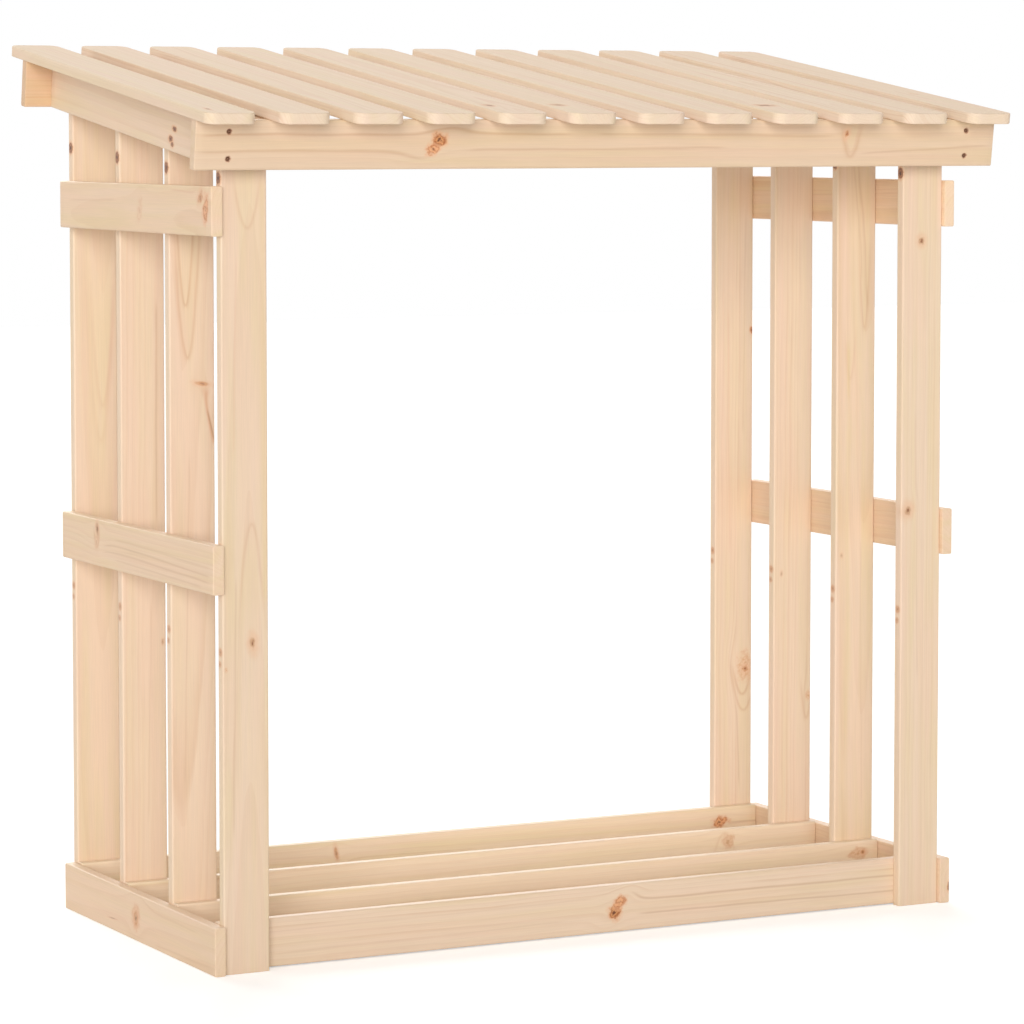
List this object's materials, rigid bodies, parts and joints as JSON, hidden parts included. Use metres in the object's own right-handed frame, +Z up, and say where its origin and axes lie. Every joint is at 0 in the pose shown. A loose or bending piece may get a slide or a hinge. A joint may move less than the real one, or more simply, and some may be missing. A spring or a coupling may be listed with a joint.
{
  "type": "log store",
  "caption": "Open timber log store with two slatted side frames, base boards on edge and a slatted lean-to roof.",
  "frame": {"origin": "on the ground, under the middle of the whole outline", "axes": "+X to the right seen from the open front, +Y to the back, +Z up"},
  "size_m": [1.08, 0.6316, 1.0794],
  "materials": {
    "frame_pine": "planed bare softwood",
    "roof_pine": "planed bare softwood"
  },
  "bodies": {
    "root": {"left_upright_1": "frame_pine", "left_upright_2": "frame_pine", "left_upright_3": "frame_pine", "left_upright_4": "frame_pine", "left_bottom_rail": "frame_pine", "left_middle_rail": "frame_pine", "left_top_rail": "frame_pine", "left_rafter": "frame_pine", "right_upright_1": "frame_pine", "right_upright_2": "frame_pine", "right_upright_3": "frame_pine", "right_upright_4": "frame_pine", "right_bottom_rail": "frame_pine", "right_middle_rail": "frame_pine", "right_top_rail": "frame_pine", "right_rafter": "frame_pine", "base_board_1": "frame_pine", "base_board_2": "frame_pine", "base_board_3": "frame_pine", "base_board_4": "frame_pine", "front_purlin": "frame_pine", "rear_purlin": "frame_pine", "roof_slat_01": "roof_pine", "roof_slat_02": "roof_pine", "roof_slat_03": "roof_pine", "roof_slat_04": "roof_pine", "roof_slat_05": "roof_pine", "roof_slat_06": "roof_pine", "roof_slat_07": "roof_pine", "roof_slat_08": "roof_pine", "roof_slat_09": "roof_pine", "roof_slat_10": "roof_pine", "roof_slat_11": "roof_pine", "roof_slat_12": "roof_pine"}
  },
  "joints": []
}
